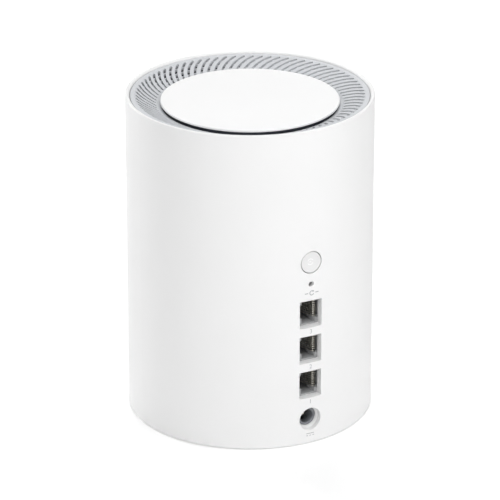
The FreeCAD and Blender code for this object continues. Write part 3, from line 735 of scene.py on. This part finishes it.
@dataclass
class Electronics(SubAssembly):
    """Main board and what is soldered to it.

    Attributes:
        radios: How many wifi chips there are, each under its can.
    """

    radios: int = 2

    def finishes(self) -> dict[str, Finishes]:
        """Choose the finish of each node.

        Returns:
            Node names with their finishes.
        """
        return (
            {
                "main_pcb": Finishes.BOARD,
                "soc_chip": Finishes.CHIP,
                "switch_chip": Finishes.CHIP,
                "memory_chips": Finishes.CHIP,
                "lan_transformers": Finishes.CHIP,
                "power_inductors": Finishes.FERRITE,
                "capacitors": Finishes.CAN,
                "status_led": Finishes.LED,
            }
            | numbered("wifi_chip", self.radios, Finishes.CHIP)
            | numbered("shield_can", self.radios, Finishes.SHIELD)
        )


@dataclass
class Cooling(SubAssembly):
    """Heatsink, heat spreader and thermal pads.

    Attributes:
        can_pads: How many pads lie on the shield cans.
    """

    can_pads: int = 2

    def finishes(self) -> dict[str, Finishes]:
        """Choose the finish of each node.

        Returns:
            Node names with their finishes.
        """
        return {
            "heatsink": Finishes.SINK,
            "heat_spreader": Finishes.SHEET,
            "soc_thermal_pad": Finishes.PAD,
            "spreader_thermal_pad": Finishes.PAD,
        } | numbered("can_thermal_pad", self.can_pads, Finishes.PAD)


@dataclass
class Radio(SubAssembly):
    """Antennas, their cables and connectors.

    Attributes:
        antennas: How many antennas there are, each with its cable.
    """

    antennas: int = 4

    def finishes(self) -> dict[str, Finishes]:
        """Choose the finish of each node.

        Returns:
            Node names with their finishes.
        """
        return (
            {"coax_connectors": Finishes.CONTACT}
            | numbered("antenna", self.antennas, Finishes.ANTENNA)
            | numbered("antenna_cable", self.antennas, Finishes.JACKET)
        )


class Fasteners(SubAssembly):
    """Every set of screws."""

    def finishes(self) -> dict[str, Finishes]:
        """Choose the finish of each node.

        Returns:
            Node names with their finishes.
        """
        held = ("base", "pcb", "heatsink", "button_board", "cover")
        return {f"{part}_screws": Finishes.SCREW for part in held}


# ---- printed marks ----------------------------------------------------------

def start_clean() -> None:
    """Leave edit mode and select nothing."""
    if bpy.context.object is not None and bpy.context.object.mode != "OBJECT":
        bpy.ops.object.mode_set(mode="OBJECT")
    bpy.ops.object.select_all(action="DESELECT")


def chosen(*pieces: bpy.types.Object) -> None:
    """Select these pieces only; the first is the active one.

    Args:
        *pieces: Objects to select.
    """
    start_clean()
    for piece in pieces:
        piece.select_set(True)
    bpy.context.view_layer.objects.active = pieces[0]


@dataclass(frozen=True)
class Spot:
    """Middle of a mark on the back of the node.

    Attributes:
        across: Millimetres to the right, as seen from behind.
        height: Millimetres above the table.
    """

    across: float
    height: float

    def place(self) -> Vector:
        """A point just outside the shell, over this spot."""
        return Vector((-self.across * MM, CAD_BOX[1].y + 2 * MM, self.height * MM))


@dataclass
class PrintedMark:
    """One mark of thin ink, laid on a curved face.

    Attributes:
        name: Name of the finished piece.
        spot: Where its middle is.
        carrier: CAD node that it is printed on.
        body: CAD body that it rides on.
        finish: Ink that it is printed with.
        film_um: Thickness of the ink in micrometres.
        lift_um: Gap under the ink, so that the two faces don't fight.
        weld_um: Distance below which two points are one.
    """

    name: str
    spot: Spot
    carrier: str = "outer_sleeve"
    body: str = "node"
    finish: Finishes = Finishes.INK
    film_um: float = 10.0
    lift_um: float = 5.0
    weld_um: float = 2.0

    def outline(self) -> bpy.types.Object:
        """Make the flat shape, upright and facing away from the node.

        Returns:
            The flat mesh object.
        """
        raise NotImplementedError

    def build(self) -> None:
        """Wrap the flat shape round its carrier and give it thickness."""
        mark = self.outline()
        mark.name = self.name
        mark.data.name = self.name
        chosen(mark)
        bpy.ops.object.transform_apply(location=True, rotation=True, scale=True)
        bpy.ops.object.mode_set(mode="EDIT")
        bpy.ops.mesh.select_all(action="SELECT")
        bpy.ops.mesh.remove_doubles(threshold=self.weld_um * UM)
        bpy.ops.mesh.dissolve_limited(angle_limit=math.radians(1))
        bpy.ops.mesh.quads_convert_to_tris()
        bpy.ops.mesh.subdivide(number_cuts=2)
        bpy.ops.mesh.quads_convert_to_tris()
        bpy.ops.object.mode_set(mode="OBJECT")
        wrap = mark.modifiers.new("wrap", "SHRINKWRAP")
        wrap.wrap_method = "PROJECT"
        wrap.use_project_y = True
        wrap.use_negative_direction = True
        wrap.use_positive_direction = False
        wrap.target = node_object(self.carrier)
        wrap.offset = self.lift_um * UM
        bpy.ops.object.modifier_apply(modifier="wrap")
        film = mark.modifiers.new("film", "SOLIDIFY")
        film.thickness = self.film_um * UM
        film.offset = 1.0
        bpy.ops.object.modifier_apply(modifier="film")
        self.finish.on(mark)
        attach(mark, self.body)
        LOG.info("BackMarks: built %s", self.name)


@dataclass
class Numeral(PrintedMark):
    """A plain number under a socket.

    Attributes:
        digit: The number.
        height_mm: Height of the number.
        share: Height of a figure as a share of the type size.
    """

    digit: int = 0
    height_mm: float = 2.0
    share: float = 0.7

    def outline(self) -> bpy.types.Object:
        """Set the number in plain type and make it a mesh.

        Returns:
            The flat number.
        """
        start_clean()
        bpy.ops.object.text_add()
        text = bpy.context.object
        text.data.body = str(self.digit)
        text.data.align_x = "CENTER"
        text.data.align_y = "CENTER"
        text.data.size = self.height_mm * MM / self.share
        text.data.resolution_u = 4
        chosen(text)
        bpy.ops.object.convert(target="MESH")
        number = bpy.context.object
        number.rotation_euler = (math.pi / 2, 0, math.pi)
        number.location = self.spot.place()
        return number


@dataclass
class StrokeMark(PrintedMark):
    """A sign drawn with bars and arcs of one stroke width.

    Attributes:
        stroke: Width of the stroke in millimetres.
        rounding: Radius of a bar's corners as a share of the stroke.
    """

    stroke: float = 0.3
    rounding: float = 0.3

    def bar(self, across: float, rise: float, length: float) -> bpy.types.Object:
        """A level bar beside the middle of the sign.

        Args:
            across: Millimetres from the middle, to the right.
            rise: Millimetres above the middle.
            length: Length in millimetres.

        Returns:
            The flat bar.
        """
        start_clean()
        centre = Spot(self.spot.across + across, self.spot.height + rise).place()
        bpy.ops.mesh.primitive_plane_add(
            size=MM, location=centre, rotation=(math.pi / 2, 0, math.pi)
        )
        bar = bpy.context.object
        bar.scale = (length, self.stroke, 1)
        bpy.ops.object.transform_apply(location=True, rotation=True, scale=True)
        bpy.ops.object.mode_set(mode="EDIT")
        bpy.ops.mesh.select_all(action="SELECT")
        bpy.ops.mesh.bevel(
            offset=self.stroke * self.rounding * MM, segments=3, affect="VERTICES"
        )
        bpy.ops.object.mode_set(mode="OBJECT")
        return bar

    def arc(self, radius: float, start: float, end: float) -> bpy.types.Object:
        """An arc about the middle of the sign.

        Args:
            radius: Radius of the stroke's middle in millimetres.
            start: Degrees where it starts, from the right, turning left over the top.
            end: Degrees where it ends.

        Returns:
            The flat arc.
        """
        start_clean()
        centre = self.spot.place()
        half = self.stroke / 2 * MM
        bpy.ops.mesh.primitive_circle_add(
            vertices=72,
            radius=radius * MM - half,
            fill_type="NOTHING",
            location=centre,
            rotation=(math.pi / 2, 0, math.pi),
        )
        arc = bpy.context.object
        bpy.ops.object.transform_apply(location=True, rotation=True, scale=True)
        bpy.ops.object.mode_set(mode="EDIT")
        bpy.ops.mesh.select_all(action="DESELECT")
        bpy.ops.object.mode_set(mode="OBJECT")
        for vertex in arc.data.vertices:
            away = vertex.co - centre
            turn = math.degrees(math.atan2(away.z, -away.x)) % 360
            vertex.select = not start <= turn <= end
        bpy.ops.object.mode_set(mode="EDIT")
        bpy.ops.mesh.delete(type="VERT")
        bpy.ops.mesh.select_all(action="SELECT")
        grow = (radius * MM + half) / (radius * MM - half)
        bpy.ops.mesh.extrude_edges_move()
        bpy.ops.transform.resize(value=(grow, grow, grow), center_override=centre)
        bpy.ops.mesh.select_all(action="SELECT")
        bpy.ops.mesh.normals_make_consistent(inside=False)
        bpy.ops.object.mode_set(mode="OBJECT")
        return arc

    def arrowhead(self, radius: float, at: float, size: float) -> bpy.types.Object:
        """A solid arrowhead on an arc, pointing to the right round it.

        Args:
            radius: Radius of the arc in millimetres.
            at: Degrees where it sits on the arc.
            size: Radius of the arrowhead in millimetres.

        Returns:
            The flat arrowhead.
        """
        start_clean()
        turn = math.radians(at)
        centre = Spot(
            self.spot.across + radius * math.cos(turn),
            self.spot.height + radius * math.sin(turn),
        ).place()
        bpy.ops.mesh.primitive_circle_add(
            vertices=3,
            radius=size * MM,
            fill_type="NGON",
            location=centre,
            rotation=(math.pi / 2, 0, math.pi),
        )
        head = bpy.context.object
        bpy.ops.object.transform_apply(location=True, rotation=True, scale=True)
        bpy.ops.object.mode_set(mode="EDIT")
        bpy.ops.mesh.select_all(action="SELECT")
        bpy.ops.transform.rotate(
            value=turn + math.pi, orient_axis="Y", center_override=centre
        )
        bpy.ops.object.mode_set(mode="OBJECT")
        return head

    def merged(self, *strokes: bpy.types.Object) -> bpy.types.Object:
        """Join the strokes into one sign.

        Args:
            *strokes: Flat bars, arcs and arrowheads.

        Returns:
            The joined sign.
        """
        chosen(*strokes)
        bpy.ops.object.join()
        bpy.ops.object.mode_set(mode="EDIT")
        bpy.ops.mesh.select_all(action="SELECT")
        bpy.ops.mesh.normals_make_consistent(inside=False)
        bpy.ops.object.mode_set(mode="OBJECT")
        sign = bpy.context.object
        if sign.data.polygons[0].normal.y < 0:
            sign.data.flip_normals()
        return sign


@dataclass
class RestartMark(StrokeMark):
    """A turning arrow between two short bars, for the reset hole.

    Attributes:
        radius: Radius of the arrow's arc.
        start: Degrees where the arc starts, from the right over the top.
        end: Degrees where it ends.
        head: Radius of the arrowhead.
        tip: Degrees where the arrowhead sits.
        bar_length: Length of each bar.
        bar_away: Distance from the middle of the sign to the middle of a bar.
    """

    radius: float = 1.0
    stroke: float = 0.42
    start: float = 60.0
    end: float = 345.0
    head: float = 0.62
    tip: float = 48.0
    bar_length: float = 1.7
    bar_away: float = 2.6

    def outline(self) -> bpy.types.Object:
        """Draw the arrow and its bars.

        Returns:
            The flat sign.
        """
        return self.merged(
            self.arc(self.radius, self.start, self.end),
            self.arrowhead(self.radius, self.tip, self.head),
            self.bar(-self.bar_away, 0, self.bar_length),
            self.bar(self.bar_away, 0, self.bar_length),
        )


@dataclass
class DirectCurrentMark(StrokeMark):
    """The usual sign for direct current: a bar over three dashes.

    Attributes:
        width: Length of the bar.
        rise: Height of the bar, and depth of the dashes, from the middle.
        gap: How much a dash is shorter than a third of the bar.
    """

    width: float = 4.0
    stroke: float = 0.34
    rise: float = 0.5
    gap: float = 0.45

    def outline(self) -> bpy.types.Object:
        """Draw the bar and its dashes.

        Returns:
            The flat sign.
        """
        dash = self.width / 3 - self.gap
        step = (self.width - dash) / 2
        dashes = [self.bar(across, -self.rise, dash) for across in (-step, 0, step)]
        return self.merged(self.bar(0, self.rise, self.width), *dashes)


@dataclass
class PairingMark(StrokeMark):
    """Two facing arcs round a short bar, in the middle of the button.

    Attributes:
        radius: Radius of the arcs.
        opening: Degrees from level to each end of an arc.
        bar_length: Length of the bar.
    """

    radius: float = 1.35
    stroke: float = 0.32
    opening: float = 20.0
    bar_length: float = 0.8

    def outline(self) -> bpy.types.Object:
        """Draw the two arcs and the bar.

        Returns:
            The flat sign.
        """
        return self.merged(
            self.arc(self.radius, self.opening, 180 - self.opening),
            self.arc(self.radius, 180 + self.opening, 360 - self.opening),
            self.bar(0, 0, self.bar_length),
        )


@dataclass
class BackMarks:
    """Every printed mark on the back, placed from its socket or hole.

    Attributes:
        network: How many network sockets have a number.
        number_drop: Millimetres from a socket's middle down to its number.
        reset_drop: Millimetres from the reset hole down to its mark.
        reset_across: Millimetres that the reset mark stands to the right.
        power_height: Millimetres from the table up to the power mark.
    """

    network: int = 3
    number_drop: float = 8.35
    reset_drop: float = 4.2
    reset_across: float = 0.3
    power_height: float = 4.5

    def marks(self) -> list[PrintedMark]:
        """Place each mark.

        Returns:
            The marks, from the lowest up.
        """
        numerals = [
            Numeral(
                f"socket_number_{index}",
                Spot(0.0, middle_height(f"rj45_jack_{index}") - self.number_drop),
                digit=index,
            )
            for index in range(1, self.network + 1)
        ]
        reset_height = middle_height("reset_plunger") - self.reset_drop
        return [
            DirectCurrentMark("power_mark", Spot(0.0, self.power_height)),
            *numerals,
            RestartMark("reset_mark", Spot(self.reset_across, reset_height)),
            PairingMark(
                "pairing_mark",
                Spot(0.0, middle_height("pairing_button")),
                carrier="pairing_button",
                body="button",
                finish=Finishes.PALE_INK,
            ),
        ]

    def build(self) -> None:
        """Print every mark."""
        for mark in self.marks():
            mark.build()


# ---- studio ----------------------------------------------------------------

@dataclass(frozen=True)
class SoftBox:
    """One rectangular studio light.

    Attributes:
        name: Name of the light.
        azimuth: Side that it stands on, in degrees as for the camera.
        elevation: Height above the horizon, in degrees.
        distance: Distance from the object in metres.
        width: Width in metres.
        height: Height in metres.
        power: Power in watts.
    """

    name: str
    azimuth: float
    elevation: float
    distance: float
    width: float
    height: float
    power: float

    def place(self, target: Vector) -> None:
        """Stand the light round a point and aim it there.

        Args:
            target: Point that the light faces.
        """
        data = bpy.data.lights.new(self.name, "AREA")
        data.shape = "RECTANGLE"
        data.size = self.width
        data.size_y = self.height
        data.energy = self.power
        lamp = bpy.data.objects.new(self.name, data)
        away = direction(self.azimuth, self.elevation)
        lamp.location = target + away * self.distance
        lamp.rotation_euler = (-away).to_track_quat("-Z", "Y").to_euler()
        bpy.context.scene.collection.objects.link(lamp)


def direction(azimuth: float, elevation: float) -> Vector:
    """Unit vector towards a viewpoint round the object.

    Args:
        azimuth: Degrees; 0 is in front and 90 on the +X side.
        elevation: Degrees above the horizon.

    Returns:
        The direction.
    """
    turn = math.radians(azimuth)
    lift = math.radians(elevation)
    return Vector(
        (math.sin(turn) * math.cos(lift), -math.cos(turn) * math.cos(lift), math.sin(lift))
    )


@dataclass
class Studio:
    """Pale table, soft lights and the camera.

    Attributes:
        azimuth: Side that the camera stands on, in degrees.
        elevation: Height of the camera above the horizon, in degrees.
        distance: Camera's distance from its target in metres.
        target_z: Height of the target on the node's axis in metres.
        lens: Focal length in millimetres.
        sensor: Width of the sensor in millimetres.
        shift_y: Small rise of the lens, as a share of the frame.
        sky: Brightness of the even light from all round.
        table_glow: Brightness of the lit table under the node.
        table_size: Width of the table in metres.
        boxes: The studio lights.
    """

    azimuth: float = 151.0
    elevation: float = 22.78
    distance: float = 1.5647
    target_z: float = 0.07163
    lens: float = 251.4
    sensor: float = 36.0
    shift_y: float = 0.0045
    sky: float = 0.08
    table_glow: float = 0.15
    table_size: float = 12.0
    boxes: tuple[SoftBox, ...] = (
        SoftBox("overhead_box", 151.0, 88.0, 2.0, 0.9, 0.9, 3.3),
        SoftBox("front_box", 151.0, 55.0, 1.3, 0.6, 0.6, 6.1),
        SoftBox("rear_box", 331.0, 50.0, 1.5, 0.6, 0.6, 8.2),
        SoftBox("right_box", 227.0, 50.0, 1.4, 0.6, 0.6, 5.1),
        SoftBox("near_box", 130.0, 35.0, 1.4, 0.5, 0.5, 1.2),
        SoftBox("far_left_strip", 21.0, 12.0, 1.4, 0.3, 1.2, 12.2),
        SoftBox("key_strip", 136.0, 12.0, 1.4, 0.3, 1.2, 3.1),
        SoftBox("right_strip", 206.0, 12.0, 1.4, 0.3, 1.2, 3.6),
    )

    def build(self) -> None:
        """Make the table, the sky, the lights and the camera."""
        self.table()
        self.light()
        self.camera()

    def table(self) -> None:
        """Lay a wide pale floor under the feet, softly lit from within."""
        start_clean()
        bpy.ops.mesh.primitive_plane_add(
            size=self.table_size, location=(0, 0, CAD_BOX[0].z)
        )
        plane = bpy.context.object
        plane.name = "studio_floor"
        material = bpy.data.materials.new("opal_acrylic_table")
        material.use_nodes = True
        shader = material.node_tree.nodes["Principled BSDF"]
        shader.inputs["Base Color"].default_value = linear("#f7f7f7")
        shader.inputs["Roughness"].default_value = 0.9
        shader.inputs["Emission Color"].default_value = (1.0, 1.0, 1.0, 1.0)
        shader.inputs["Emission Strength"].default_value = self.table_glow
        plane.data.materials.append(material)

    def light(self) -> None:
        """Set the even sky and stand the soft boxes round the node."""
        world = bpy.data.worlds.new("studio_sky")
        world.use_nodes = True
        backdrop = world.node_tree.nodes["Background"]
        backdrop.inputs["Color"].default_value = (1.0, 1.0, 1.0, 1.0)
        backdrop.inputs["Strength"].default_value = self.sky
        bpy.context.scene.world = world
        target = Vector((0, 0, self.target_z))
        for soft_box in self.boxes:
            soft_box.place(target)

    def camera(self) -> None:
        """Stand the camera at its viewing angle."""
        data = bpy.data.cameras.new("studio_camera")
        data.lens = self.lens
        data.sensor_width = self.sensor
        data.shift_y = self.shift_y
        data.clip_start = 0.1
        data.clip_end = 50.0
        camera = bpy.data.objects.new("studio_camera", data)
        away = direction(self.azimuth, self.elevation)
        camera.location = Vector((0, 0, self.target_z)) + away * self.distance
        camera.rotation_euler = (-away).to_track_quat("-Z", "Y").to_euler()
        bpy.context.scene.collection.objects.link(camera)
        bpy.context.scene.camera = camera
        bpy.context.scene.view_settings.view_transform = "Standard"


def main() -> None:
    """Build, dress and light the node."""
    logging.basicConfig(level=logging.INFO, format="%(name)s: %(message)s")
    parts = (
        Enclosure(),
        Sockets(),
        Controls(),
        Electronics(),
        Cooling(),
        Radio(),
        Fasteners(),
        BackMarks(),
        Studio(),
    )
    for part in parts:
        part.build()


if __name__ == "__main__":
    main()
